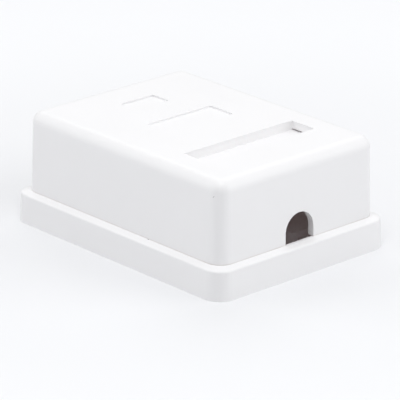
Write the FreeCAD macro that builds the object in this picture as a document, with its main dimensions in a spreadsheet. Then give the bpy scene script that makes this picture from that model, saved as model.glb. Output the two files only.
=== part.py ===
import FreeCAD, Part
import math
import os
import re
import Sketcher

# A two-port surface mount jack box for structured cabling, in millimetres with +Z up.
# The origin is the centre of the underside. X runs across the box and Y along it: the
# cable comes in at the -Y end, and the two jacks face +Y.
#
# A moulded tray is screwed to the wall or desk and carries two jack modules side by
# side. A moulded cover stands on the tray's ledge and lifts straight off it. Each module
# is a small board with a jack housing, a sled with eight spring contacts, and two rows
# of four wire terminals, each row with its press-on cap.

SIZES = {
    # tray: a floor with a low, slightly tapered rim, which is cored from below; outside the
    # cover's line the rim's ledge falls a little towards its rounded outer edge
    "tray_width": 51.6,
    "tray_length": 67.8,
    "tray_height": 7.25,
    "tray_draft": 2.3,
    "tray_corner": 4.2,
    "tray_edge_round": 0.45,
    "floor_thickness": 2.2,
    "skirt_thickness": 1.3,
    "ledge_thickness": 1.6,
    "ledge_width": 2.05,
    "ledge_fall": 0.55,
    "ledge_flat_width": 0.1,
    "well_wall_thickness": 1.2,
    # upstands of the tray that locate the cover from inside
    "upstand_length": 8.0,
    "upstand_thickness": 1.4,
    "upstand_height": 4.0,
    "upstand_gap": 0.15,
    "upstand_offset": 14.0,
    "end_upstand_offset": 13.0,
    "middle_upstand_length": 3.6,
    # screw holes on the long centre line, each through a low boss
    "screw_hole_width": 4.0,
    "screw_spacing": 33.0,
    "screw_offset": -3.5,
    "boss_width": 9.0,
    "boss_height": 1.0,
    # eyes for a cable tie, beside the cable entry
    "tie_eye_width": 3.2,
    "tie_eye_height": 2.0,
    "tie_bar_width": 1.4,
    "tie_eye_depth": 3.0,
    "tie_eye_offset": 8.0,
    "tie_eye_setback": 5.5,
    # cover: a drafted shell with rounded top edges
    "box_height": 25.9,
    "cover_thickness": 1.65,
    "roof_thickness": 1.75,
    "cover_draft": 1.47,
    "cover_corner": 3.6,
    "cover_top_round": 2.6,
    # label pocket in the roof, with a slot at each end for the label's tongue
    "label_length": 32.3,
    "label_width": 7.0,
    "label_depth": 2.1,
    "label_floor_thickness": 1.4,
    "label_shelf_length": 1.0,
    "label_wall_thickness": 1.4,
    "label_offset": -15.95,
    # two shallow recesses in the roof
    "panel_depth": 0.4,
    "panel_corner": 0.5,
    "middle_panel_length": 19.2,
    "middle_panel_width": 7.4,
    "middle_panel_offset": 3.15,
    "front_panel_length": 9.7,
    "front_panel_width": 5.45,
    "front_panel_offset": 18.2,
    # arched cable entry, and the shallow notch across the tray's edge under it
    "entry_width": 8.4,
    "entry_straight_height": 2.5,
    "entry_notch_margin": 0.8,
    "entry_notch_depth": 1.0,
    # ribs under the roof that hold the jacks down
    "press_rib_thickness": 1.2,
    "press_rib_length": 11.0,
    "press_rib_spacing": 8.0,
    "press_rib_gap": 0.2,
    # jack modules
    "jack_spacing": 22.0,
    "jack_width": 14.6,
    "jack_height": 14.0,
    "jack_depth": 15.95,
    "jack_setback": 0.45,
    "port_gap": 0.25,
    "seat_gap": 0.3,
    # plug cavity with its stepped channel for the plug's latch
    "plug_width": 11.9,
    "plug_height": 6.9,
    "plug_depth": 12.5,
    "latch_width": 6.2,
    "latch_height": 1.7,
    "latch_top_width": 3.4,
    "latch_top_height": 1.6,
    "sill_thickness": 1.8,
    # ribs on the housing's sides, and the slotted posts that they slide down into
    "key_width": 1.2,
    "key_depth": 0.8,
    "key_setback": 8.3,
    "post_width": 6.0,
    "post_thickness": 1.5,
    "post_height": 11.7,
    "slide_gap": 0.15,
    # board, with its rails and spring clip
    "board_width": 14.0,
    "board_length": 27.6,
    "board_thickness": 1.2,
    "rail_height": 3.75,
    "rail_width": 1.4,
    "rail_spacing": 12.4,
    "rail_inset": 1.0,
    "clip_width": 3.6,
    "clip_thickness": 1.3,
    "clip_nose_length": 1.1,
    "clip_nose_height": 0.9,
    "clip_gap": 0.05,
    # contact sled and the eight spring contacts
    "contact_spacing": 1.02,
    "contact_thickness": 0.4,
    "contact_angle": 24.0,
    "contact_fold_length": 0.8,
    "contact_inset": 0.2,
    "contact_engagement": 0.75,
    "pin_length": 1.6,
    "front_pin_offset": 12.1,
    "rear_pin_offset": 14.5,
    "pin_hole_width": 0.7,
    "pin_gap": 0.25,
    "sled_height": 1.5,
    "sled_gap": 0.05,
    "groove_width": 0.55,
    "groove_depth": 0.65,
    "comb_width": 0.6,
    "comb_gap": 0.35,
    # wire terminals: slotted blocks with a forked clip across each slot
    "row_spacing": 8.8,
    "block_width": 4.6,
    "block_length": 11.2,
    "block_height": 10.0,
    "block_inset": 0.8,
    "wire_spacing": 2.7,
    "wire_slot_width": 1.1,
    "wire_slot_depth": 5.0,
    "lead_in_depth": 0.55,
    "fork_width": 2.1,
    "fork_height": 8.6,
    "fork_thickness": 0.4,
    "fork_slot_width": 0.34,
    "fork_slot_depth": 5.0,
    "fork_gap": 0.05,
    "fork_tail_width": 0.6,
    "tail_hole_width": 1.0,
    # press-on terminal caps
    "cap_wall_thickness": 0.8,
    "cap_roof_thickness": 0.9,
    "cap_skirt_height": 2.6,
    "cap_gap": 0.1,
    "cap_notch_width": 1.5,
    "cap_notch_height": 1.6,
}

COVER_WIDTH = "(tray_width - 2 * ledge_width)"
COVER_LENGTH = "(tray_length - 2 * ledge_width)"
WELL_WIDTH = "(tray_width - 2 * ledge_width - 2 * cover_thickness)"
WELL_LENGTH = "(tray_length - 2 * ledge_width - 2 * cover_thickness)"
RIM_EDGE = "(tray_height - ledge_fall)"
ROOF_UNDERSIDE = "(box_height - roof_thickness)"
LABEL_BOTTOM = "(box_height - label_depth)"
BOARD_BOTTOM = "(floor_thickness + rail_height)"
BOARD_TOP = "(floor_thickness + rail_height + board_thickness)"
BOARD_FRONT = f"({WELL_LENGTH} / 2 - seat_gap)"
BOARD_REAR = f"({BOARD_FRONT} - board_length)"
JACK_FRONT = f"({COVER_LENGTH} / 2 - jack_setback)"
JACK_TOP = f"({BOARD_TOP} + jack_height)"
CAVITY_FLOOR = f"({BOARD_TOP} + sled_height + sled_gap)"
GROOVE_FLOOR = f"({BOARD_TOP} + sled_height - groove_depth)"
SLED_FRONT = f"({JACK_FRONT} - sill_thickness - sled_gap)"
SLED_LENGTH = "(front_pin_offset - sill_thickness - sled_gap - pin_gap)"
CONTACT_CROTCH = f"({SLED_FRONT} - contact_inset - contact_fold_length)"
ARM_END = f"({JACK_FRONT} - plug_depth - contact_engagement)"
RUN_TOP = f"({GROOVE_FLOOR} + contact_thickness)"
ARM_LOW = f"({RUN_TOP} + ({CONTACT_CROTCH} - {ARM_END}) * tan(contact_angle))"
ARM_TOP = f"({ARM_LOW} + contact_thickness * cos(contact_angle))"
BLOCK_TOP = f"({BOARD_TOP} + block_height)"
BLOCK_MIDDLE = f"({BOARD_REAR} + block_inset + block_length / 2)"

# eight contacts, their pins taking turns between two rows, and four wires to a terminal row
CONTACT_COUNT = 8
PIN_ROWS = ("front_pin_offset", "rear_pin_offset")
WIRES_A_ROW = 4
# heights this close to each other count as the same
SAME_HEIGHT = 0.01

doc = FreeCAD.newDocument("SurfaceMountJackBox")
sheet = doc.addObject("Spreadsheet::Sheet", "Sizes")
for row, (size_name, size) in enumerate(SIZES.items(), start=1):
    sheet.set(f"A{row}", size_name)
    sheet.set(f"B{row}", str(size))
    sheet.setAlias(f"B{row}", size_name)
doc.recompute()


def number(text):
    """The present value of an expression of sizes."""
    return float(sheet.evalExpression(text))


def bind(target, member, text):
    """Tie one member of an object to an expression of sizes."""

    def refer(word):
        return f"Sizes.{word.group()}" if word.group() in SIZES else word.group()

    target.setExpression(member, re.sub(r"[a-z]\w*", refer, text))


def new_body(name, place_x="0"):
    """A named sub-part, built on the centre line and placed across the box."""
    body = doc.addObject("PartDesign::Body", name)
    body.Label = name
    bind(body, "Placement.Base.x", place_x)
    return body


def origin_feature(body, role):
    return next(item for item in body.Origin.OriginFeatures if item.Role == role)


def sketch_on(body, plane, name, offset="0"):
    """A sketch parallel to an origin plane, moved along that plane's normal.

    The normals are +Z for XY_Plane, -Y for XZ_Plane and +X for YZ_Plane.
    """
    sketch = body.newObject("Sketcher::SketchObject", name)
    sketch.AttachmentSupport = [(origin_feature(body, plane), "")]
    sketch.MapMode = "FlatFace"
    bind(sketch, "AttachmentOffset.Base.z", offset)
    return sketch


def fix(sketch, kind, geometry, point, text):
    """Set the signed distance of a point from the sketch's origin."""
    constraint = sketch.addConstraint(
        Sketcher.Constraint(kind, -1, 1, geometry, point, number(text))
    )
    bind(sketch, f"Constraints[{constraint}]", text)


def polygon(sketch, corners):
    """A closed outline through the corners, each an (x, y) pair of expressions."""
    points = [FreeCAD.Vector(number(x), number(y), 0) for x, y in corners]
    first = sketch.GeometryCount
    count = len(points)
    for i in range(count):
        sketch.addGeometry(Part.LineSegment(points[i], points[(i + 1) % count]), False)
    for i in range(count):
        following = first + (i + 1) % count
        sketch.addConstraint(Sketcher.Constraint("Coincident", first + i, 2, following, 1))
    for i, (x, y) in enumerate(corners):
        fix(sketch, "DistanceX", first + i, 1, x)
        fix(sketch, "DistanceY", first + i, 1, y)


def rectangle(sketch, centre, width, length):
    """A rectangle about a centre, all in expressions."""
    x, y = centre
    low_x, high_x = f"{x} - {width} / 2", f"{x} + {width} / 2"
    low_y, high_y = f"{y} - {length} / 2", f"{y} + {length} / 2"
    polygon(sketch, [(low_x, low_y), (high_x, low_y), (high_x, high_y), (low_x, high_y)])


def rounded_rectangle(sketch, width, length, corner):
    """A rectangle about the sketch's origin with tangent arcs at its corners."""
    radius = number(corner)
    turns = [(1, 1), (-1, 1), (-1, -1), (1, -1)]
    arcs = []
    for i, (side, end) in enumerate(turns):
        x, y = f"({side}) * ({width} / 2 - {corner})", f"({end}) * ({length} / 2 - {corner})"
        ring = Part.Circle(FreeCAD.Vector(number(x), number(y), 0), FreeCAD.Vector(0, 0, 1), radius)
        arc = sketch.addGeometry(Part.ArcOfCircle(ring, i * math.pi / 2, (i + 1) * math.pi / 2), False)
        fix(sketch, "DistanceX", arc, 3, x)
        fix(sketch, "DistanceY", arc, 3, y)
        constraint = sketch.addConstraint(Sketcher.Constraint("Radius", arc, radius))
        bind(sketch, f"Constraints[{constraint}]", corner)
        arcs.append(arc)
    for arc, following in zip(arcs, arcs[1:] + arcs[:1]):
        start = sketch.Geometry[arc].EndPoint
        end = sketch.Geometry[following].StartPoint
        line = sketch.addGeometry(Part.LineSegment(start, end), False)
        sketch.addConstraint(Sketcher.Constraint("Tangent", arc, 2, line, 1))
        sketch.addConstraint(Sketcher.Constraint("Tangent", line, 2, following, 1))


def circle(sketch, centre, diameter):
    x, y = centre
    middle = FreeCAD.Vector(number(x), number(y), 0)
    radius = number(f"{diameter} / 2")
    ring = sketch.addGeometry(Part.Circle(middle, FreeCAD.Vector(0, 0, 1), radius), False)
    fix(sketch, "DistanceX", ring, 3, x)
    fix(sketch, "DistanceY", ring, 3, y)
    constraint = sketch.addConstraint(Sketcher.Constraint("Radius", ring, radius))
    bind(sketch, f"Constraints[{constraint}]", f"{diameter} / 2")


def extrude(body, kind, sketch, length, reverse=False, midplane=False):
    """A Pad or a Pocket of a sketch, checked to have changed the solid."""
    before = body.Tip.Shape.Volume if body.Tip else 0.0
    feature = body.newObject(f"PartDesign::{kind}", f"{sketch.Name}_{kind.lower()}")
    feature.Profile = sketch
    feature.Reversed = reverse
    feature.Midplane = midplane
    bind(feature, "Length", length)
    doc.recompute()
    gained = feature.Shape.Volume - before
    if (gained > 0) != (kind == "Pad") or abs(gained) < 1e-6:
        raise RuntimeError(f"{feature.Name} left its solid as it was")
    return feature


def pad(body, sketch, length, **options):
    return extrude(body, "Pad", sketch, length, **options)


def pocket(body, sketch, length, **options):
    return extrude(body, "Pocket", sketch, length, **options)


def repeat(body, features, axis, pitch, count):
    """Repeat features along an origin axis."""
    pattern = body.newObject("PartDesign::LinearPattern", f"{features[0].Name}_row")
    pattern.Originals = features
    pattern.Direction = (origin_feature(body, axis), [""])
    bind(pattern, "Length", f"{pitch} * {count - 1}")
    pattern.Occurrences = count
    body.Tip = pattern
    doc.recompute()


def spanning(items, kind, low, high):
    """The names of the faces or edges that reach from height low to height high."""
    bottom, top = number(low), number(high)
    names = []
    for i, item in enumerate(items, start=1):
        box = item.BoundBox
        if abs(box.ZMin - bottom) < SAME_HEIGHT and abs(box.ZMax - top) < SAME_HEIGHT:
            names.append(f"{kind}{i}")
    return names


def dress(body, kind, name, size, low, high):
    """A Fillet or Chamfer on every edge that reaches from height low to height high."""
    base = body.Tip
    edges = spanning(base.Shape.Edges, "Edge", low, high)
    feature = body.newObject(f"PartDesign::{kind}", name)
    feature.Base = (base, edges)
    bind(feature, "Radius" if kind == "Fillet" else "Size", size)
    finish(feature)


def lean(body, name, angle, low, high, reverse=False):
    """Draft the faces that reach from height low to height high; they stay in place at low."""
    base = body.Tip
    feature = body.newObject("PartDesign::Draft", name)
    feature.Base = (base, spanning(base.Shape.Faces, "Face", low, high))
    feature.NeutralPlane = (base, spanning(base.Shape.Faces, "Face", low, low)[:1])
    feature.Reversed = reverse
    bind(feature, "Angle", angle)
    finish(feature)


def finish(feature):
    doc.recompute()
    if feature.Shape.isNull() or "Invalid" in feature.State:
        raise RuntimeError(f"{feature.Name} could not be made")


SIDES = (("right", ""), ("left", "-"))
HANDS = ("+", "-")


def make_tray():
    """The tray, which is one moulding: the rim and floor with all that stands on them."""
    body = new_body("base_tray")
    outline = sketch_on(body, "XY_Plane", "rim_outline")
    rounded_rectangle(outline, "tray_width", "tray_length", "tray_corner")
    pad(body, outline, "tray_height")
    lean(body, "rim_draft", "tray_draft", "0", "tray_height")
    slope_ledge(body)
    dress(body, "Fillet", "rim_edge", "tray_edge_round", RIM_EDGE, RIM_EDGE)
    hollow_tray(body)
    notch_entry(body)
    add_upstands(body)
    add_screw_bosses(body)
    add_tie_eyes(body)
    add_rails(body)
    add_guide_posts(body)
    add_board_clips(body)
    return body


def slope_ledge(body):
    """The fall of the ledge, from just outside the cover's line to the rim's outer edge."""
    base = body.Tip
    slope = body.newObject("PartDesign::Chamfer", "ledge_slope")
    slope.Base = (base, spanning(base.Shape.Edges, "Edge", "tray_height", "tray_height"))
    slope.ChamferType = "Two distances"
    bind(slope, "Size", "ledge_fall / cos(tray_draft)")
    bind(slope, "Size2", "ledge_width - ledge_flat_width - tray_height * tan(tray_draft)")
    finish(slope)


def notch_entry(body):
    """A notch across the edge of the well, which lets the cable lie low in its entry."""
    notch = sketch_on(body, "XY_Plane", "entry_notch", "tray_height")
    middle = ("0", f"-({COVER_LENGTH} / 2 - cover_thickness)")
    rectangle(notch, middle, "(entry_width + 2 * entry_notch_margin)", "(2 * cover_thickness)")
    pocket(body, notch, "entry_notch_depth")


def hollow_tray(body):
    """The well inside the cover's line, and the groove that cores the rim from below."""
    well = sketch_on(body, "XY_Plane", "well", "tray_height")
    rounded_rectangle(well, WELL_WIDTH, WELL_LENGTH, "(cover_corner - cover_thickness)")
    pocket(body, well, "tray_height - floor_thickness")

    core = sketch_on(body, "XY_Plane", "core")
    skirt_inside = ("(tray_width - 2 * skirt_thickness)", "(tray_length - 2 * skirt_thickness)")
    well_outside = [f"({side} + 2 * well_wall_thickness)" for side in (WELL_WIDTH, WELL_LENGTH)]
    rounded_rectangle(core, *skirt_inside, "(tray_corner - skirt_thickness)")
    rounded_rectangle(core, *well_outside, "(cover_corner - cover_thickness + well_wall_thickness)")
    pocket(body, core, "tray_height - ledge_thickness", reverse=True)


def stand_on_floor(body, sketch, height):
    """Raise a plan from inside the floor to a height above the floor's top."""
    bind(sketch, "AttachmentOffset.Base.z", "floor_thickness / 2")
    pad(body, sketch, f"floor_thickness / 2 + {height}")


def add_upstands(body):
    """Plates inside the cover's walls that keep it in place: four at the sides, three at the ends."""
    side_x = f"({WELL_WIDTH} / 2 - upstand_gap - upstand_thickness / 2)"
    end_y = f"({WELL_LENGTH} / 2 - upstand_gap - upstand_thickness / 2)"
    upstands = sketch_on(body, "XY_Plane", "upstands")
    for _, sign in SIDES:
        for end in ("", "-"):
            place = (f"{sign}{side_x}", f"{end}upstand_offset")
            rectangle(upstands, place, "upstand_thickness", "upstand_length")
        place = (f"{sign}end_upstand_offset", f"-{end_y}")
        rectangle(upstands, place, "upstand_length", "upstand_thickness")
    rectangle(upstands, ("0", end_y), "middle_upstand_length", "upstand_thickness")
    stand_on_floor(body, upstands, "tray_height - floor_thickness + upstand_height")


def add_screw_bosses(body):
    """Two low bosses on the long centre line, drilled through for the mounting screws."""
    bosses = sketch_on(body, "XY_Plane", "screw_bosses")
    holes = sketch_on(body, "XY_Plane", "screw_holes")
    for hand in HANDS:
        place = ("0", f"(screw_offset {hand} screw_spacing / 2)")
        circle(bosses, place, "boss_width")
        circle(holes, place, "screw_hole_width")
    stand_on_floor(body, bosses, "boss_height")
    pocket(body, holes, "floor_thickness + boss_height", reverse=True)


def add_tie_eyes(body):
    """A small arch on each side of the cable's way in, for a cable tie to pass through."""
    eyes = sketch_on(body, "XZ_Plane", "tie_eyes", f"({WELL_LENGTH} / 2 - tie_eye_setback)")
    low, eye_top = "floor_thickness / 2", "(floor_thickness + tie_eye_height)"
    half_profile = [
        ("(tie_eye_width / 2 + tie_bar_width)", low),
        ("(tie_eye_width / 2 + tie_bar_width)", f"{eye_top} + tie_bar_width"),
    ]
    half_eye = [("tie_eye_width / 2", eye_top), ("tie_eye_width / 2", low)]
    for _, sign in SIDES:
        middle = f"{sign}tie_eye_offset"
        outline = [(f"{middle} + {x}", z) for x, z in half_profile]
        outline += [(f"{middle} - {x}", z) for x, z in reversed(half_profile)]
        outline += [(f"{middle} - {x}", z) for x, z in reversed(half_eye)]
        outline += [(f"{middle} + {x}", z) for x, z in half_eye]
        polygon(eyes, outline)
    pad(body, eyes, "tie_eye_depth", reverse=True)


def add_rails(body):
    """Two rails under each jack's board."""
    rails = sketch_on(body, "XY_Plane", "board_rails")
    middle_y = f"({BOARD_FRONT} - board_length / 2)"
    for _, sign in SIDES:
        for hand in HANDS:
            place = (f"({sign}jack_spacing / 2 {hand} rail_spacing / 2)", middle_y)
            rectangle(rails, place, "rail_width", "(board_length - 2 * rail_inset)")
    stand_on_floor(body, rails, "rail_height")


def add_guide_posts(body):
    """A slotted post on each side of each jack, for the key on the housing's side."""
    posts = sketch_on(body, "XY_Plane", "guide_posts")
    middle_y = f"({JACK_FRONT} - key_setback)"
    half_slot = "(key_width / 2 + slide_gap)"
    for _, sign in SIDES:
        for hand in HANDS:
            face = f"{sign}jack_spacing / 2 {hand} (jack_width / 2 + slide_gap)"
            back = f"{face} {hand} post_thickness"
            slot_floor = f"{face} {hand} key_depth"
            half_post = "post_width / 2"
            half = [(back, half_post), (face, half_post), (face, half_slot), (slot_floor, half_slot)]
            outline = [(x, f"{middle_y} - {y}") for x, y in half]
            outline += [(x, f"{middle_y} + {y}") for x, y in reversed(half)]
            polygon(posts, outline)
    stand_on_floor(body, posts, "post_height")


def add_board_clips(body):
    """A springy arm behind each board, with a nose over the board's rear edge."""
    rear = f"({BOARD_REAR} - clip_gap)"
    nose = f"({BOARD_TOP} + clip_gap)"
    top = f"{nose} + 2 * clip_nose_height"
    for side, sign in SIDES:
        clip = sketch_on(body, "YZ_Plane", f"board_clip_{side}", f"{sign}jack_spacing / 2")
        polygon(clip, [
            (f"{rear} - clip_thickness", "floor_thickness / 2"),
            (rear, "floor_thickness / 2"),
            (rear, nose),
            (f"{rear} + clip_nose_length", nose),
            (rear, top),
            (f"{rear} - clip_thickness", top),
        ])
        pad(body, clip, "clip_width", midplane=True)


def make_cover():
    """The cover: a drafted shell with rounded edges, and all that is moulded into it."""
    body = new_body("cover")
    outline = sketch_on(body, "XY_Plane", "cover_outline", "tray_height")
    rounded_rectangle(outline, COVER_WIDTH, COVER_LENGTH, "cover_corner")
    pad(body, outline, "box_height - tray_height")
    lean(body, "cover_sides", "cover_draft", "tray_height", "box_height")
    dress(body, "Fillet", "cover_top_edge", "cover_top_round", "box_height", "box_height")
    hollow_cover(body)
    add_label_pocket(body)
    add_panels(body)
    cut_cable_entry(body)
    cut_port_notches(body)
    add_press_ribs(body)
    return body


def hollow_cover(body):
    """The inside of the shell, drafted like its outside."""
    cavity = sketch_on(body, "XY_Plane", "cavity", "tray_height")
    rounded_rectangle(cavity, WELL_WIDTH, WELL_LENGTH, "(cover_corner - cover_thickness)")
    pocket(body, cavity, f"{ROOF_UNDERSIDE} - tray_height", reverse=True)
    lean(body, "cavity_sides", "cover_draft", "tray_height", ROOF_UNDERSIDE, reverse=True)


def add_label_pocket(body):
    """A sunk shelf for the label, open at both ends under the roof for the label's tongues."""
    shelf_length = "(label_length + 2 * label_shelf_length)"
    middle = ("0", "label_offset")
    shelf = sketch_on(body, "XY_Plane", "label_shelf", f"{LABEL_BOTTOM} - label_floor_thickness")
    rectangle(shelf, middle, shelf_length, "(label_width + 2 * label_wall_thickness)")
    pad(body, shelf, "label_depth + label_floor_thickness - roof_thickness / 2")
    label = sketch_on(body, "XY_Plane", "label_pocket", "box_height")
    rectangle(label, middle, "label_length", "label_width")
    pocket(body, label, "label_depth")
    slots = sketch_on(body, "XY_Plane", "label_slots", ROOF_UNDERSIDE)
    rectangle(slots, middle, shelf_length, "label_width")
    pocket(body, slots, "label_depth - roof_thickness")


def add_panels(body):
    """Two shallow recesses in the roof with rounded corners."""
    panels = sketch_on(body, "XY_Plane", "panels", "box_height")
    rectangle(panels, ("0", "middle_panel_offset"), "middle_panel_length", "middle_panel_width")
    rectangle(panels, ("0", "front_panel_offset"), "front_panel_length", "front_panel_width")
    pocket(body, panels, "panel_depth")
    dress(body, "Fillet", "panel_corners", "panel_corner", "box_height - panel_depth", "box_height")


def cut_cable_entry(body):
    """The arched way in for the cable, through the end wall above the tray's ledge."""
    entry = sketch_on(body, "XZ_Plane", "cable_entry", f"({COVER_LENGTH} / 2 - 2 * cover_thickness)")
    arch(entry, "entry_width / 2", "tray_height", "(tray_height + entry_straight_height)")
    pocket(body, entry, "3 * cover_thickness", reverse=True)


def cut_port_notches(body):
    """A notch from the foot of the front wall for each jack, so the cover lifts off over them."""
    ports = sketch_on(body, "XZ_Plane", "port_notches", f"-({COVER_LENGTH} / 2 - 2 * cover_thickness)")
    port_height = f"({JACK_TOP} + port_gap - tray_height)"
    for _, sign in SIDES:
        place = (f"{sign}jack_spacing / 2", f"(tray_height + {port_height} / 2)")
        rectangle(ports, place, "(jack_width + 2 * port_gap)", port_height)
    pocket(body, ports, "3 * cover_thickness")


def add_press_ribs(body):
    """Two ribs under the roof over each jack, which keep it down in its posts."""
    ribs = sketch_on(body, "XY_Plane", "press_ribs", f"{JACK_TOP} + press_rib_gap")
    middle_y = f"({WELL_LENGTH} / 2 - press_rib_length / 2)"
    for _, sign in SIDES:
        for hand in HANDS:
            place = (f"({sign}jack_spacing / 2 {hand} press_rib_spacing / 2)", middle_y)
            rectangle(ribs, place, "press_rib_thickness", "press_rib_length")
    pad(body, ribs, f"{ROOF_UNDERSIDE} - {JACK_TOP} - press_rib_gap + roof_thickness / 2")


def arch(sketch, half_width, foot, spring_line):
    """A doorway outline: two straight sides under a half circle."""
    x, low, high = number(half_width), number(foot), number(spring_line)
    corners = [(-x, high), (-x, low), (x, low), (x, high)]
    points = [FreeCAD.Vector(*corner, 0) for corner in corners]
    for start, end in zip(points, points[1:]):
        sketch.addGeometry(Part.LineSegment(start, end), False)
    ring = Part.Circle(FreeCAD.Vector(0, high, 0), FreeCAD.Vector(0, 0, 1), x)
    head = sketch.addGeometry(Part.ArcOfCircle(ring, 0, math.pi), False)
    for line in range(2):
        sketch.addConstraint(Sketcher.Constraint("Coincident", line, 2, line + 1, 1))
    sketch.addConstraint(Sketcher.Constraint("Coincident", 2, 2, head, 1))
    sketch.addConstraint(Sketcher.Constraint("Coincident", head, 2, 0, 1))
    fix(sketch, "DistanceX", 0, 1, f"-{half_width}")
    fix(sketch, "DistanceY", 0, 1, spring_line)
    fix(sketch, "DistanceX", 1, 1, f"-{half_width}")
    fix(sketch, "DistanceY", 1, 1, foot)
    fix(sketch, "DistanceX", 2, 1, half_width)
    fix(sketch, "DistanceY", 2, 1, foot)
    fix(sketch, "DistanceX", 2, 2, half_width)
    fix(sketch, "DistanceY", 2, 2, spring_line)
    fix(sketch, "DistanceY", head, 3, spring_line)


def make_housing(name, jack):
    """The jack housing: plug cavity, latch channel, comb, and a bay for the contact sled."""
    body = new_body(f"{name}_housing", jack)
    front = f"-{JACK_FRONT}"
    middle = f"({BOARD_TOP} + jack_height / 2)"
    outline = sketch_on(body, "XZ_Plane", "jack_outline", front)
    rectangle(outline, ("0", middle), "jack_width", "jack_height")
    pad(body, outline, "jack_depth")

    step = sketch_on(body, "XZ_Plane", "nose_step", front)
    step_height = f"(tray_height + seat_gap - {BOARD_TOP})"
    rectangle(step, ("0", f"({BOARD_TOP} + {step_height} / 2)"), "jack_width", step_height)
    pocket(body, step, f"{JACK_FRONT} - {BOARD_FRONT}", reverse=True)

    cavity = sketch_on(body, "XZ_Plane", "plug_cavity", front)
    plug_top = f"({CAVITY_FLOOR} + plug_height)"
    latch_top = f"({plug_top} + latch_height)"
    channel_top = f"({latch_top} + latch_top_height)"
    right_side = [
        ("plug_width / 2", CAVITY_FLOOR),
        ("plug_width / 2", plug_top),
        ("latch_width / 2", plug_top),
        ("latch_width / 2", latch_top),
        ("latch_top_width / 2", latch_top),
        ("latch_top_width / 2", channel_top),
    ]
    polygon(cavity, right_side + [(f"-{x}", z) for x, z in reversed(right_side)])
    pocket(body, cavity, "plug_depth", reverse=True)

    bay = sketch_on(body, "XZ_Plane", "sled_bay", f"-({JACK_FRONT} - sill_thickness)")
    bay_height = f"({CAVITY_FLOOR} - {BOARD_TOP})"
    rectangle(bay, ("0", f"({BOARD_TOP} + {bay_height} / 2)"), "plug_width", bay_height)
    pocket(body, bay, "jack_depth - sill_thickness", reverse=True)

    comb = sketch_on(body, "XZ_Plane", "comb_slot", f"-({JACK_FRONT} - plug_depth)")
    comb_height = f"({ARM_TOP} + comb_gap - {CAVITY_FLOOR})"
    comb_middle = (contact_place(0), f"({CAVITY_FLOOR} + {comb_height} / 2)")
    rectangle(comb, comb_middle, "comb_width", comb_height)
    slot = pocket(body, comb, "contact_engagement + comb_gap", reverse=True)
    repeat(body, [slot], "X_Axis", "contact_spacing", CONTACT_COUNT)

    keys = sketch_on(body, "XY_Plane", "side_keys", BOARD_TOP)
    key_width = "(jack_width + 2 * key_depth - 2 * slide_gap)"
    wall_middle = "(jack_width / 2 + plug_width / 2) / 2"
    reach = f"({key_width} / 2 - {wall_middle})"
    for hand in ("", "-"):
        place = (f"{hand}({wall_middle} + {reach} / 2)", f"({JACK_FRONT} - key_setback)")
        rectangle(keys, place, reach, "key_width")
    pad(body, keys, "jack_height")
    return body


def contact_place(index):
    """The place of one contact across its jack."""
    return f"({index} - {(CONTACT_COUNT - 1) / 2}) * contact_spacing"


def make_sled(name, jack):
    """The contact sled: an insulating slab with a groove for each contact."""
    body = new_body(f"{name}_contact_sled", jack)
    middle_y = f"({SLED_FRONT} - {SLED_LENGTH} / 2)"
    slab = sketch_on(body, "XY_Plane", "slab", BOARD_TOP)
    rectangle(slab, ("0", middle_y), "(plug_width - 2 * sled_gap)", SLED_LENGTH)
    pad(body, slab, "sled_height")
    groove = sketch_on(body, "XY_Plane", "groove", f"{BOARD_TOP} + sled_height")
    rectangle(groove, (contact_place(0), middle_y), "groove_width", SLED_LENGTH)
    cut = pocket(body, groove, "groove_depth")
    repeat(body, [cut], "X_Axis", "contact_spacing", CONTACT_COUNT)
    return body


def contact_profile(sketch, pin_offset):
    """The side view of one spring contact: pin, run along its groove, fold and free arm."""
    front = f"({SLED_FRONT} - contact_inset)"
    pin_front = f"({JACK_FRONT} - {pin_offset})"
    pin_rear = f"({pin_front} - contact_thickness)"
    pin_low = f"({BOARD_TOP} - pin_length)"
    across = "contact_thickness * sin(contact_angle)"
    over_front = f"{RUN_TOP} + contact_thickness * cos(contact_angle)"
    nose_top = f"({over_front} - (contact_fold_length - {across}) * tan(contact_angle))"
    polygon(sketch, [
        (pin_rear, pin_low),
        (pin_front, pin_low),
        (pin_front, GROOVE_FLOOR),
        (front, GROOVE_FLOOR),
        (front, nose_top),
        (f"({ARM_END} + {across})", ARM_TOP),
        (ARM_END, ARM_LOW),
        (CONTACT_CROTCH, RUN_TOP),
        (pin_rear, RUN_TOP),
    ])


def make_contacts(name, jack):
    """The spring contacts, whose pins are staggered in two rows."""
    body = new_body(f"{name}_spring_contacts", jack)
    for first, pin_offset in enumerate(PIN_ROWS):
        profile = sketch_on(body, "YZ_Plane", f"{pin_offset}_profile", contact_place(first))
        contact_profile(profile, pin_offset)
        strip = pad(body, profile, "contact_thickness", midplane=True)
        spacing = f"{len(PIN_ROWS)} * contact_spacing"
        repeat(body, [strip], "X_Axis", spacing, CONTACT_COUNT // len(PIN_ROWS))
    return body


def make_board(name, jack):
    """The module's board, punched for the contact pins and the terminal tails."""
    body = new_body(f"{name}_board", jack)
    plate = sketch_on(body, "XY_Plane", "board_outline", BOARD_BOTTOM)
    rectangle(plate, ("0", f"({BOARD_FRONT} - board_length / 2)"), "board_width", "board_length")
    pad(body, plate, "board_thickness")
    holes = sketch_on(body, "XY_Plane", "punched_holes", BOARD_TOP)
    for i in range(CONTACT_COUNT):
        pin_y = f"({JACK_FRONT} - {PIN_ROWS[i % len(PIN_ROWS)]} - contact_thickness / 2)"
        rectangle(holes, (contact_place(i), pin_y), "pin_hole_width", "pin_hole_width")
    for hand in ("", "-"):
        for i in range(WIRES_A_ROW):
            tail = (f"{hand}row_spacing / 2", wire_place(i))
            rectangle(holes, tail, "tail_hole_width", "tail_hole_width")
    pocket(body, holes, "board_thickness")
    return body


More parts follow.
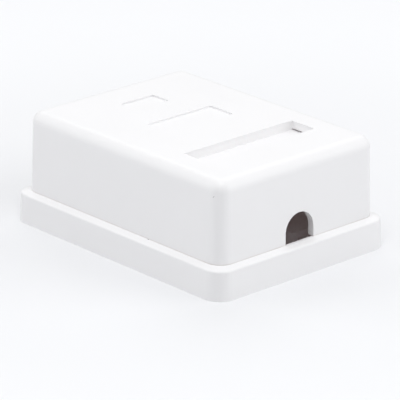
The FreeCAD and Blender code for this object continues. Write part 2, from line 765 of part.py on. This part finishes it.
def wire_place(index):
    """The place of one wire along its terminal block."""
    return f"({BLOCK_MIDDLE} + ({index} - {(WIRES_A_ROW - 1) / 2}) * wire_spacing)"


def make_terminal_block(name, place_x):
    """One row of four wire slots, with a pocket across each slot for its forked clip."""
    body = new_body(name, place_x)
    plan = sketch_on(body, "XY_Plane", "block_plan", BOARD_TOP)
    rectangle(plan, ("0", BLOCK_MIDDLE), "block_width", "block_length")
    pad(body, plan, "block_height")
    first = wire_place(0)
    slot = sketch_on(body, "YZ_Plane", "wire_slot_profile")
    slot_floor = f"({BLOCK_TOP} - wire_slot_depth)"
    polygon(slot, [
        (f"{first} - wire_slot_width / 2", slot_floor),
        (f"{first} + wire_slot_width / 2", slot_floor),
        (f"{first} + wire_slot_width / 2", f"{BLOCK_TOP} - 2 * lead_in_depth"),
        (f"{first} + wire_slot_width / 2 + lead_in_depth", BLOCK_TOP),
        (f"{first} - wire_slot_width / 2 - lead_in_depth", BLOCK_TOP),
        (f"{first} - wire_slot_width / 2", f"{BLOCK_TOP} - 2 * lead_in_depth"),
    ])
    cut_slot = pocket(body, slot, "2 * block_width", midplane=True)
    seat = sketch_on(body, "XY_Plane", "fork_seat", BOARD_TOP)
    seat_size = ("(fork_thickness + 2 * fork_gap)", "(fork_width + 2 * fork_gap)")
    rectangle(seat, ("0", first), *seat_size)
    fork_seat = pocket(body, seat, "fork_height + fork_gap", reverse=True)
    repeat(body, [cut_slot, fork_seat], "Y_Axis", "wire_spacing", WIRES_A_ROW)
    return body


def make_terminal_clips(name, place_x):
    """Four forked clips, which cut through a wire's insulation as it is pressed in."""
    body = new_body(name, place_x)
    fork = sketch_on(body, "YZ_Plane", "fork_profile")
    middle = wire_place(0)
    tail_low = f"({BOARD_TOP} - pin_length)"
    top = f"({BOARD_TOP} + fork_height)"
    right_side = [
        ("fork_tail_width / 2", tail_low),
        ("fork_tail_width / 2", BOARD_TOP),
        ("fork_width / 2", BOARD_TOP),
        ("fork_width / 2", top),
        ("(fork_slot_width + fork_width) / 4", top),
        ("fork_slot_width / 2", f"{top} - fork_width / 4"),
        ("fork_slot_width / 2", f"{top} - fork_slot_depth"),
    ]
    outline = [(f"{middle} + {y}", z) for y, z in right_side]
    outline += [(f"{middle} - {y}", z) for y, z in reversed(right_side)]
    polygon(fork, outline)
    clip = pad(body, fork, "fork_thickness", midplane=True)
    repeat(body, [clip], "Y_Axis", "wire_spacing", WIRES_A_ROW)
    return body


def make_terminal_cap(name, place_x):
    """A press-on cap over one terminal block, notched on both sides for the wires."""
    body = new_body(name, place_x)
    skirt_low = f"({BLOCK_TOP} - cap_skirt_height)"
    inner = ("(block_width + 2 * cap_gap)", "(block_length + 2 * cap_gap)")
    outer = [f"({side} + 2 * cap_wall_thickness)" for side in inner]
    plan = sketch_on(body, "XY_Plane", "cap_plan", skirt_low)
    rectangle(plan, ("0", BLOCK_MIDDLE), *outer)
    pad(body, plan, "cap_skirt_height + cap_roof_thickness")
    cap_top = f"({BLOCK_TOP} + cap_roof_thickness)"
    dress(body, "Fillet", "cap_corners", "cap_wall_thickness", skirt_low, cap_top)
    dress(body, "Chamfer", "cap_top_edge", "cap_roof_thickness / 3", cap_top, cap_top)
    hollow = sketch_on(body, "XY_Plane", "cap_hollow", skirt_low)
    rectangle(hollow, ("0", BLOCK_MIDDLE), *inner)
    pocket(body, hollow, "cap_skirt_height", reverse=True)
    notch = sketch_on(body, "YZ_Plane", "wire_notch")
    notch_middle = (wire_place(0), f"({skirt_low} + cap_notch_height / 2)")
    rectangle(notch, notch_middle, "cap_notch_width", "cap_notch_height")
    cut = pocket(body, notch, "4 * block_width", midplane=True)
    repeat(body, [cut], "Y_Axis", "wire_spacing", WIRES_A_ROW)
    return body


def make_jack(side, sign):
    """Every piece of the jack module on one side of the box."""
    name, middle = f"jack_{side}", f"{sign}jack_spacing / 2"
    pieces = [
        make_housing(name, middle),
        make_sled(name, middle),
        make_contacts(name, middle),
        make_board(name, middle),
    ]
    for row, hand in (("inner", "-"), ("outer", "+")):
        row_x = f"{sign}(jack_spacing {hand} row_spacing) / 2"
        pieces += [
            make_terminal_block(f"{name}_terminal_block_{row}", row_x),
            make_terminal_clips(f"{name}_terminal_clips_{row}", row_x),
            make_terminal_cap(f"{name}_terminal_cap_{row}", row_x),
        ]
    return pieces


sub_parts = [make_tray(), make_cover()]
for side_name, side_sign in SIDES:
    sub_parts += make_jack(side_name, side_sign)
doc.recompute()

for item in doc.Objects:
    if "Invalid" in item.State or "Error" in item.State:
        raise RuntimeError(f"{item.Name} failed: {item.State}")
for sub_part in sub_parts:
    if sub_part.Shape.isNull() or not sub_part.Shape.isValid():
        raise RuntimeError(f"{sub_part.Label} has no valid shape")

os.makedirs("parts", exist_ok=True)
for sub_part in sub_parts:
    sub_part.Shape.exportStep(f"parts/{sub_part.Label}.step")
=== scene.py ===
import bpy
import math
import random
from mathutils import Matrix, Vector


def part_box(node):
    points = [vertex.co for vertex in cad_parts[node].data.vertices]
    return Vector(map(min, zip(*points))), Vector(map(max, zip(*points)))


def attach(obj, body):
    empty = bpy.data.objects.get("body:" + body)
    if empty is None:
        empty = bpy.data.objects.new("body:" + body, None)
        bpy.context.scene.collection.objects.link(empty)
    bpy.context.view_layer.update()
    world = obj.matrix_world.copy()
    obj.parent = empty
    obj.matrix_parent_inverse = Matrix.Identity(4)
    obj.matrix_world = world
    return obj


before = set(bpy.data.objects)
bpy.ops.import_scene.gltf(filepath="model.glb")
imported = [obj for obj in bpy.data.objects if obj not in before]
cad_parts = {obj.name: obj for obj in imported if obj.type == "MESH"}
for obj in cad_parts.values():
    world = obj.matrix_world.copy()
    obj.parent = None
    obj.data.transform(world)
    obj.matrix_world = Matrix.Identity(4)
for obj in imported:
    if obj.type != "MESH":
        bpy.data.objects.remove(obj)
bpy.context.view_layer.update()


# ---- Camera -------------------------------------------------------------------------------
# A long lens on a stand in front of the cable end, to the left of the box and a little
# above it. It is turned by a hair about its own axis.

view_azimuth = math.radians(-43.025)
view_elevation = math.radians(20.845)
view_roll = math.radians(0.583)
stand_distance = 0.71617
aim_right, aim_up = 0.00024, 0.00713
lens_length, sensor_width = 288.73, 36
sight_end = 20


def direction_from(azimuth, elevation):
    """The direction from the middle of the box to what stands at these angles."""
    across = math.cos(elevation)
    return Vector((math.sin(azimuth) * across, -math.cos(azimuth) * across, math.sin(elevation)))


toward_camera = direction_from(view_azimuth, view_elevation)
level_right = Vector((math.cos(view_azimuth), math.sin(view_azimuth), 0))
level_up = toward_camera.cross(level_right)
camera_right = math.cos(view_roll) * level_right + math.sin(view_roll) * level_up
camera_up = toward_camera.cross(camera_right)

camera = bpy.data.objects.new("camera", bpy.data.cameras.new("camera"))
camera.data.lens = lens_length
camera.data.sensor_width = sensor_width
camera.data.clip_end = sight_end
turned = Matrix((camera_right, camera_up, toward_camera)).transposed().to_4x4()
stand = toward_camera * stand_distance + camera_right * aim_right + camera_up * aim_up
camera.matrix_world = Matrix.Translation(stand) @ turned
bpy.context.scene.collection.objects.link(camera)
bpy.context.scene.camera = camera


# ---- Floor and light ----------------------------------------------------------------------
# A sheet of white card on a table, in a tent of white cloth. The cloth is lit evenly, and
# lamps behind it give the box its brighter top and its softer sides.

floor_half = 4.0
lamp_distance = 1.2


def new_material(name):
    """A new material, its shader, and the place on the piece in the piece's own axes."""
    material = bpy.data.materials.new(name)
    material.use_nodes = True
    shader = material.node_tree.nodes["Principled BSDF"]
    place = material.node_tree.nodes.new("ShaderNodeTexCoord").outputs["Object"]
    return material, shader, place


def feed(node, values):
    """Set a node's sockets to plain values, or join them to other nodes' outputs."""
    for socket, value in values.items():
        if isinstance(value, bpy.types.NodeSocket):
            node.id_data.links.new(value, node.inputs[socket])
        else:
            node.inputs[socket].default_value = value


def add_node(material, kind, values, **settings):
    """A new node of a material, with its settings and what feeds its sockets."""
    node = material.node_tree.nodes.new(f"ShaderNode{kind}")
    for setting, value in settings.items():
        setattr(node, setting, value)
    feed(node, values)
    return node


def add_tone(material, factor, low, high):
    """A colour between two others, by a factor from 0 to 1."""
    tone = add_node(material, "Mix", {"Factor": factor, "A": low, "B": high}, data_type="RGBA")
    return tone.outputs["Result"]


def add_mesh(name, points, faces, material):
    """A piece that is modelled here, in one material."""
    mesh = bpy.data.meshes.new(name)
    mesh.from_pydata(points, [], faces)
    mesh.materials.append(material)
    piece = bpy.data.objects.new(name, mesh)
    bpy.context.scene.collection.objects.link(piece)
    return piece


# painted shade: the card is a little greyer round the box than farther out
card, card_shader, card_place = new_material("white_card")
card_reach = add_node(card, "VectorMath", {0: card_place}, operation="LENGTH")
card_spread = add_node(
    card, "MapRange", {"Value": card_reach.outputs["Value"], "From Min": 0.05, "From Max": 0.16},
    interpolation_type="SMOOTHSTEP",
)
shaded_near_tone, far_tone = (0.82, 0.826, 0.842, 1), (0.885, 0.892, 0.908, 1)
feed(card_shader, {
    "Base Color": add_tone(card, card_spread.outputs["Result"], shaded_near_tone, far_tone),
    "Roughness": 0.6,
    "Specular IOR Level": 0.2,
})
floor = add_mesh(
    "floor",
    [(-floor_half, -floor_half, 0), (floor_half, -floor_half, 0),
     (floor_half, floor_half, 0), (-floor_half, floor_half, 0)],
    [(0, 1, 2, 3)],
    card,
)

bpy.context.scene.view_settings.view_transform = "Standard"
tent = bpy.data.worlds.new("tent")
bpy.context.scene.world = tent
tent.use_nodes = True
feed(tent.node_tree.nodes["Background"], {"Color": (0.985, 0.99, 1.0, 1), "Strength": 0.356})


def hang_lamp(name, azimuth, elevation, size, power):
    """A square lamp behind the cloth, facing the middle of the box."""
    lamp = bpy.data.objects.new(name, bpy.data.lights.new(name, "AREA"))
    lamp.data.size = size
    lamp.data.energy = power
    direction = direction_from(math.radians(azimuth), math.radians(elevation))
    lamp.location = direction * lamp_distance
    lamp.rotation_euler = direction.to_track_quat("Z", "Y").to_euler()
    bpy.context.scene.collection.objects.link(lamp)


hang_lamp("lamp_left", -138, 25, size=0.9, power=3.48)
hang_lamp("lamp_right", 40, 25, size=0.9, power=4.60)
hang_lamp("lamp_behind", 137, 50, size=0.9, power=3.20)
hang_lamp("lamp_over_left", -100, 68, size=0.6, power=0.65)
hang_lamp("lamp_over_front", -43, 72, size=0.6, power=6.65)


# ---- Tray ---------------------------------------------------------------------------------
# One moulding in cool white styrene with a fine satin grain. It is screwed to the wall or
# stands on a desk, and it carries everything else.

# the tint of the painted glow, an emission on the plastics that stands in for light soaked through them
painted_glow_tint = (1, 0.72, 0.69, 1)
plastic_mottle, plastic_gloss_swing = 0.985, 0.05
sharp_angle, flat_angle = math.radians(40), math.radians(1)


def add_noise(material, place, scale, detail):
    """A cloudy pattern that wanders between 0 and 1."""
    noise = add_node(material, "TexNoise", {"Vector": place, "Scale": scale, "Detail": detail})
    return noise.outputs["Fac"]


def add_range(material, factor, low, high):
    """A value between two limits, by a factor from 0 to 1."""
    limits = add_node(material, "MapRange", {"Value": factor, "To Min": low, "To Max": high})
    return limits.outputs["Result"]


def add_relief(material, height, depth):
    """Fine relief in the surface, as deep as this where the height is 1."""
    relief = add_node(material, "Bump", {"Height": height, "Strength": 1, "Distance": depth})
    return relief.outputs["Normal"]


def new_plastic(name, colour, roughness, grain, grain_size, glow):
    """A moulded plastic, a little mottled, with a fine grain. The glow is painted light: an emission
    that stands in for light soaked through the plastic.
    """
    material, shader, place = new_material(name)
    clouds = add_noise(material, place, scale=90, detail=3)
    pits = add_noise(material, place, scale=1 / grain_size, detail=2)
    darker = [plastic_mottle * value for value in colour]
    shiniest, dullest = roughness - plastic_gloss_swing, roughness + plastic_gloss_swing
    feed(shader, {
        "Base Color": add_tone(material, clouds, (*darker, 1), (*colour, 1)),
        "Roughness": add_range(material, clouds, shiniest, dullest),
        "Normal": add_relief(material, pits, grain),
        "IOR": 1.53,
        "Specular IOR Level": 0.32,
        "Emission Color": painted_glow_tint,
        "Emission Strength": glow,
    })
    return material


def new_smoothing():
    """Smooth shading over every edge that turns by less than the sharp angle."""
    tree = bpy.data.node_groups.new("smoothing", "GeometryNodeTree")
    tree.interface.new_socket("Geometry", in_out="INPUT", socket_type="NodeSocketGeometry")
    tree.interface.new_socket("Geometry", in_out="OUTPUT", socket_type="NodeSocketGeometry")
    came, left = tree.nodes.new("NodeGroupInput"), tree.nodes.new("NodeGroupOutput")
    faces = tree.nodes.new("GeometryNodeSetShadeSmooth")
    edges = tree.nodes.new("GeometryNodeSetShadeSmooth")
    edges.domain = "EDGE"
    angle = tree.nodes.new("GeometryNodeInputMeshEdgeAngle")
    shallow = tree.nodes.new("FunctionNodeCompare")
    shallow.data_type, shallow.operation = "FLOAT", "LESS_THAN"
    feed(faces, {"Geometry": came.outputs["Geometry"]})
    feed(shallow, {"A": angle.outputs["Unsigned Angle"], "B": sharp_angle})
    feed(edges, {
        "Geometry": faces.outputs["Geometry"],
        "Shade Smooth": shallow.outputs["Result"],
    })
    feed(left, {"Geometry": edges.outputs["Geometry"]})
    return tree


smoothing = new_smoothing()


def shade_smooth(piece):
    """Smooth shading that keeps the sharp edges."""
    piece.modifiers.new("smoothing", "NODES").node_group = smoothing


def finish_node(node, material, edge_round):
    """Give a moulded or stamped part its material and softly broken edges."""
    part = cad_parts[node]
    part.data.materials.clear()
    part.data.materials.append(material)
    flats = part.modifiers.new("flats", "DECIMATE")
    flats.decimate_type = "DISSOLVE"
    flats.angle_limit = flat_angle
    edges = part.modifiers.new("broken_edges", "BEVEL")
    edges.width = edge_round
    edges.segments = 2
    edges.limit_method = "ANGLE"
    edges.angle_limit = sharp_angle
    shade_smooth(part)
    part.modifiers.new("flat_faces", "WEIGHTED_NORMAL").keep_sharp = True


# the glow here is painted light, a faint emission over the whole tray and cover
styrene_look = {
    "colour": (0.86, 0.862, 0.872), "roughness": 0.42,
    "grain": 0.000012, "grain_size": 0.00025, "glow": 0.015,
}
white_styrene = new_plastic("white_styrene", **styrene_look)
finish_node("base_tray", white_styrene, edge_round=0.00018)


# ---- Sill of the cable entry --------------------------------------------------------------
# A thin lip of the tray's own plastic, left standing along the outer edge of the notch under
# the arch. It wavers a little where the mould's two halves met.

cover_low, cover_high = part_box("cover")
sill_half_width, sill_depth, sill_height = 0.0049, 0.0007, 0.0011
sill_setback, sill_gap = 0.00002, 0.00001
sill_chamfer, sill_waver = 0.00015, 0.00003
sill_steps, sill_corners = 14, 5
sill_front = cover_low[1] + sill_setback
sill_top, sill_foot = cover_low[2] - sill_gap, cover_low[2] - sill_height

sill_random = random.Random(7)
points, faces = [], []
for step in range(sill_steps + 1):
    x = -sill_half_width + 2 * sill_half_width * step / sill_steps
    back = sill_front + sill_depth + sill_random.uniform(-sill_waver, sill_waver)
    top = sill_top - sill_random.uniform(0, sill_waver)
    points += [
        (x, sill_front, sill_foot), (x, sill_front, top),
        (x, back - sill_chamfer, top), (x, back, top - sill_chamfer), (x, back, sill_foot),
    ]
for step in range(sill_steps):
    low, high = sill_corners * step, sill_corners * (step + 1)
    for i in range(sill_corners):
        following = (i + 1) % sill_corners
        faces.append((low + i, high + i, high + following, low + following))
last = sill_corners * sill_steps
faces += [tuple(range(sill_corners)), tuple(last + i for i in reversed(range(sill_corners)))]
sill = add_mesh("entry_sill", points, faces, white_styrene)
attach(sill, "tray")


# ---- Jack housings and contact sleds ------------------------------------------------------
# Glass-filled black polyester. Each housing slides down into the tray's posts by the keys on
# its sides, and the sled with its grooves is pushed into the housing from below.

jack_sides = ("jack_left", "jack_right")
black_polyester = new_plastic(
    "black_polyester", (0.030, 0.030, 0.032), roughness=0.38, grain=0.00001, grain_size=0.00018, glow=0,
)
for jack in jack_sides:
    finish_node(f"{jack}_housing", black_polyester, edge_round=0.00012)
    finish_node(f"{jack}_contact_sled", black_polyester, edge_round=0.00005)


# ---- Spring contacts and terminal clips ---------------------------------------------------
# The contacts are bent from gold-plated bronze and lie in the sled's grooves. The forked
# clips are stamped from tinned bronze and stand in pockets of the terminal blocks.

terminal_rows = ("inner", "outer")
plating_dullness = 0.86
drawn_stretch = (1, 0.05, 1)


def new_plating(name, colour, roughness, stroke):
    """A plated metal with a fine drawn grain along Y and faint dull patches."""
    material, shader, place = new_material(name)
    patches = add_noise(material, place, scale=400, detail=4)
    drawn = add_node(material, "Mapping", {"Vector": place, "Scale": drawn_stretch})
    grain = add_noise(material, drawn.outputs["Vector"], scale=14000, detail=2)
    duller = [plating_dullness * value for value in colour]
    feed(shader, {
        "Base Color": add_tone(material, patches, (*duller, 1), (*colour, 1)),
        "Roughness": add_range(material, patches, roughness - 0.08, roughness + 0.1),
        "Normal": add_relief(material, grain, stroke),
        "Metallic": 1,
    })
    return material


gold_plating = new_plating("gold_plating", (0.94, 0.71, 0.33), roughness=0.3, stroke=0.0000003)
tin_plating = new_plating("tin_plating", (0.66, 0.66, 0.64), roughness=0.36, stroke=0.0000006)
for jack in jack_sides:
    finish_node(f"{jack}_spring_contacts", gold_plating, edge_round=0.00006)
    for row in terminal_rows:
        finish_node(f"{jack}_terminal_clips_{row}", tin_plating, edge_round=0.00004)


# ---- Terminal blocks and caps -------------------------------------------------------------
# The blocks are natural polycarbonate, a little see-through at their thin fins, and sit on
# the board. The caps are white and are pressed on over the wires.

# the blocks' glow is painted light, standing in for light through their thin fins
natural_carbonate = new_plastic(
    "natural_carbonate", (0.72, 0.71, 0.66), roughness=0.3, grain=0.000006, grain_size=0.0002, glow=0.01,
)
cap_white = new_plastic(
    "cap_white", (0.80, 0.80, 0.795), roughness=0.4, grain=0.00001, grain_size=0.0002, glow=0,
)
for jack in jack_sides:
    for row in terminal_rows:
        finish_node(f"{jack}_terminal_block_{row}", natural_carbonate, edge_round=0.00008)
        finish_node(f"{jack}_terminal_cap_{row}", cap_white, edge_round=0.00008)


# ---- Boards -------------------------------------------------------------------------------
# Punched brown phenolic paper board. Its underside carries tinned copper tracks from the
# contact pins to the terminal tails, with a soldered joint on every pin and tail.

leg_tolerance, leg_width = 0.00002, 0.0009
track_width, track_thickness = 0.0005, 0.00004
joint_turns = 12
# the joint's radius, and how far it hangs below the board there
joint_profile = [
    (0.00058, 0.0), (0.00042, 0.00012), (0.00033, 0.00028), (0.00026, 0.00044), (0.0001, 0.0005),
]


def new_phenolic():
    """Brown resin with paper fibres that run along Y."""
    material, shader, place = new_material("phenolic_board")
    drawn = add_node(material, "Mapping", {"Vector": place, "Scale": (1, 0.25, 1)})
    fibres = add_noise(material, drawn.outputs["Vector"], scale=2500, detail=6)
    tone = add_node(material, "ValToRGB", {"Fac": fibres})
    resin, paper = tone.color_ramp.elements
    resin.position, resin.color = 0.3, (0.20, 0.095, 0.035, 1)
    paper.position, paper.color = 0.7, (0.38, 0.20, 0.08, 1)
    feed(shader, {
        "Base Color": tone.outputs["Color"],
        "Roughness": add_range(material, fibres, 0.28, 0.5),
        "Normal": add_relief(material, fibres, 0.000006),
        "IOR": 1.6,
    })
    return material


def leg_ends(nodes):
    """The middles of the legs that reach lowest, as (x, y) pairs."""
    corners = [vertex.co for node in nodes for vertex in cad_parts[node].data.vertices]
    lowest = min(corner.z for corner in corners)
    legs = []
    for corner in corners:
        if corner.z > lowest + leg_tolerance:
            continue
        near = [leg for leg in legs if (leg[0].xy - corner.xy).length < leg_width]
        if near:
            near[0].append(corner)
        else:
            legs.append([corner])
    middles = []
    for leg in legs:
        xs, ys = [corner.x for corner in leg], [corner.y for corner in leg]
        middles.append(((min(xs) + max(xs)) / 2, (min(ys) + max(ys)) / 2))
    return middles


def add_joint(points, faces, x, y, top):
    """One soldered joint: a hollow-sided cone that hangs round its leg."""
    first = len(points)
    for radius, drop in joint_profile:
        for turn in range(joint_turns):
            angle = 2 * math.pi * turn / joint_turns
            points.append((x + radius * math.cos(angle), y + radius * math.sin(angle), top - drop))
    for ring in range(len(joint_profile) - 1):
        high = first + ring * joint_turns
        low = high + joint_turns
        for turn in range(joint_turns):
            following = (turn + 1) % joint_turns
            faces.append((high + turn, low + turn, low + following, high + following))
    last = first + (len(joint_profile) - 1) * joint_turns
    faces.append(tuple(last + turn for turn in reversed(range(joint_turns))))


def add_strip(points, faces, low_x, high_x, low_y, high_y, top):
    """One straight run of track against the board's underside."""
    first = len(points)
    for z in (top, top - track_thickness):
        points += [(low_x, low_y, z), (high_x, low_y, z), (high_x, high_y, z), (low_x, high_y, z)]
    faces += [tuple(first + i for i in face) for face in (
        (7, 6, 5, 4), (0, 4, 5, 1), (1, 5, 6, 2), (2, 6, 7, 3), (3, 7, 4, 0))]


phenolic = new_phenolic()
solder = new_plating("solder", (0.62, 0.62, 0.60), roughness=0.3, stroke=0.000001)
for jack in jack_sides:
    board = f"{jack}_board"
    finish_node(board, phenolic, edge_round=0.00005)
    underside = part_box(board)[0][2]
    pins = leg_ends([f"{jack}_spring_contacts"])
    tails = leg_ends([f"{jack}_terminal_clips_{row}" for row in terminal_rows])
    middle = sum(x for x, _ in pins) / len(pins)
    half = track_width / 2
    points, faces = [], []
    # on each hand the outermost pin goes to the tail that lies nearest to the pins
    for hand in (-1, 1):
        hand_pins = [pin for pin in pins if hand * (pin[0] - middle) > 0]
        hand_tails = [tail for tail in tails if hand * (tail[0] - middle) > 0]
        hand_pins.sort(key=lambda pin: -hand * pin[0])
        hand_tails.sort(key=lambda tail: -tail[1])
        for (pin_x, pin_y), (tail_x, tail_y) in zip(hand_pins, hand_tails):
            add_strip(points, faces, pin_x - half, pin_x + half, tail_y - half, pin_y, underside)
            low_x, high_x = sorted((pin_x, tail_x))
            add_strip(points, faces, low_x, high_x, tail_y - half, tail_y + half, underside)
    for x, y in pins + tails:
        add_joint(points, faces, x, y, underside)
    solder_side = add_mesh(f"{jack}_solder_side", points, faces, solder)
    shade_smooth(solder_side)
    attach(solder_side, "tray")


# ---- Cover --------------------------------------------------------------------------------
# A moulding of the same styrene, which stands on the tray's ledge and is held by the tray's
# upstands. Painted light glows on the thin walls of its recesses, in place of light soaked
# through them, and painted shade darkens the seam at its foot in patches.

recess_reach_x, recess_reach_y, recess_depth = 0.0166, 0.0200, 0.00206
upright_limit, top_margin = 0.6, 0.00001
rim_glow, full_glow, full_glow_depth = 0.018, 0.066, 0.0008
painted_wall_glow_tint = (1, 0.92, 0.88, 1)
# the seam's painted shade: a darker colour in patches just above and below the cover's foot
seam_height, seam_shade_patch_size = 0.00025, 0.00625
painted_seam_shade = (0.70, 0.66, 0.64, 1)

cover_styrene = new_plastic("cover_styrene", **styrene_look)
cover_shader = cover_styrene.node_tree.nodes["Principled BSDF"]
cover_place = add_node(cover_styrene, "TexCoord", {}).outputs["Object"]
cover_spot = add_node(cover_styrene, "SeparateXYZ", {"Vector": cover_place}).outputs
cover_normal = add_node(cover_styrene, "NewGeometry", {}).outputs["Normal"]
cover_facing = add_node(cover_styrene, "SeparateXYZ", {"Vector": cover_normal}).outputs


def cover_sum(operation, first, second):
    """One sum on the cover's surface, of outputs or plain numbers."""
    values = {0: first, 1: second}
    return add_node(cover_styrene, "Math", values, operation=operation).outputs["Value"]


def cover_between(value, low, high):
    """1 where the value lies between its limits, and 0 elsewhere."""
    above, below = cover_sum("GREATER_THAN", value, low), cover_sum("LESS_THAN", value, high)
    return cover_sum("MULTIPLY", above, below)


# the upright walls of the label pocket and of the two shallow recesses, down to their floors, where
# painted light glows
thin_walls = cover_between(cover_facing["Z"], -upright_limit, upright_limit)
for axis, low, high in (
    ("X", -recess_reach_x, recess_reach_x),
    ("Y", -recess_reach_y, recess_reach_y),
    ("Z", cover_high[2] - recess_depth, cover_high[2] - top_margin),
):
    inside = cover_between(cover_spot[axis], low, high)
    thin_walls = cover_sum("MULTIPLY", thin_walls, inside)

# their painted glow is faint at the rim and full from a little way down
painted_glow_ramp = add_node(cover_styrene, "MapRange", {
    "Value": cover_spot["Z"],
    "From Min": cover_high[2] - full_glow_depth, "From Max": cover_high[2],
    "To Min": full_glow, "To Max": rim_glow,
})
wall_glow = cover_sum("MULTIPLY", thin_walls, painted_glow_ramp.outputs["Result"])
# painted shade along the seam between the cover's foot and the tray's ledge, in patches
seam = cover_between(cover_spot["Z"], cover_low[2] - seam_height, cover_low[2] + seam_height)
seam_shade_patches = add_noise(cover_styrene, cover_place, scale=1 / seam_shade_patch_size, detail=2)
seam_shade_mask = cover_sum("MULTIPLY", seam, seam_shade_patches)
unshaded_colour = cover_shader.inputs["Base Color"].links[0].from_socket
feed(cover_shader, {
    "Base Color": add_tone(cover_styrene, seam_shade_mask, unshaded_colour, painted_seam_shade),
    "Emission Color": add_tone(cover_styrene, thin_walls, painted_glow_tint, painted_wall_glow_tint),
    "Emission Strength": cover_sum("ADD", wall_glow, styrene_look["glow"]),
})
finish_node("cover", cover_styrene, edge_round=0.00011)


# ---- Marks of handling --------------------------------------------------------------------
# A short scuff near the top of the cover's corner, and a dark crumb of dirt that lies on the
# tray's ledge against the cover's foot.

fleck_corners, fleck_thickness = 11, 0.00003
# each ring's share of the fleck's reach, and its height as a share of the thickness
fleck_rings = ((1.0, -0.3), (0.7, 0.7))

scuff_place = (cover_low[0] + 0.00055, cover_low[1] + 0.00260, cover_high[2] - 0.0034)
crumb_place = (cover_low[0] - 0.00006, -0.00954, cover_low[2] + 0.00002)
grime_dark, grime_pale = (0.24, 0.235, 0.23, 1), (0.42, 0.41, 0.40, 1)

grime, grime_shader, _ = new_material("grime")
grime_clumps = add_node(grime, "TexNoise", {"Scale": 12000}).outputs["Fac"]
feed(grime_shader, {
    "Base Color": add_tone(grime, grime_clumps, grime_dark, grime_pale),
    "Normal": add_relief(grime, grime_clumps, 0.00001),
})


def add_fleck(name, body, place, outward, along, length, width, random_seed):
    """A thin ragged fleck on a surface: a low crown inside an uneven rim."""
    dice = random.Random(random_seed)
    place = Vector(place)
    outward = Vector(outward).normalized()
    along = (Vector(along) - Vector(along).dot(outward) * outward).normalized()
    across = outward.cross(along)
    points = []
    for spread, lift in fleck_rings:
        for i in range(fleck_corners):
            angle = 2 * math.pi * i / fleck_corners
            reach = spread * dice.uniform(0.75, 1.1)
            point = place + outward * fleck_thickness * lift
            point += along * (length / 2 * reach * math.cos(angle))
            point += across * (width / 2 * reach * math.sin(angle))
            points.append(point)
    crown = len(points)
    points.append(place + outward * fleck_thickness)
    faces = []
    for i in range(fleck_corners):
        following = (i + 1) % fleck_corners
        inner, inner_following = fleck_corners + i, fleck_corners + following
        faces += [(i, following, inner_following, inner), (inner, inner_following, crown)]
    fleck = add_mesh(name, points, faces, grime)
    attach(fleck, body)


add_fleck(
    "corner_scuff", "cover", scuff_place, outward=(-0.95, -0.31, 0.03), along=(0.3, -0.9, 0.9),
    length=0.00055, width=0.00012, random_seed=3,
)
add_fleck(
    "foot_crumb", "tray", crumb_place, outward=(-0.3, 0, 1), along=(0, 1, 0),
    length=0.0005, width=0.00018, random_seed=5,
)
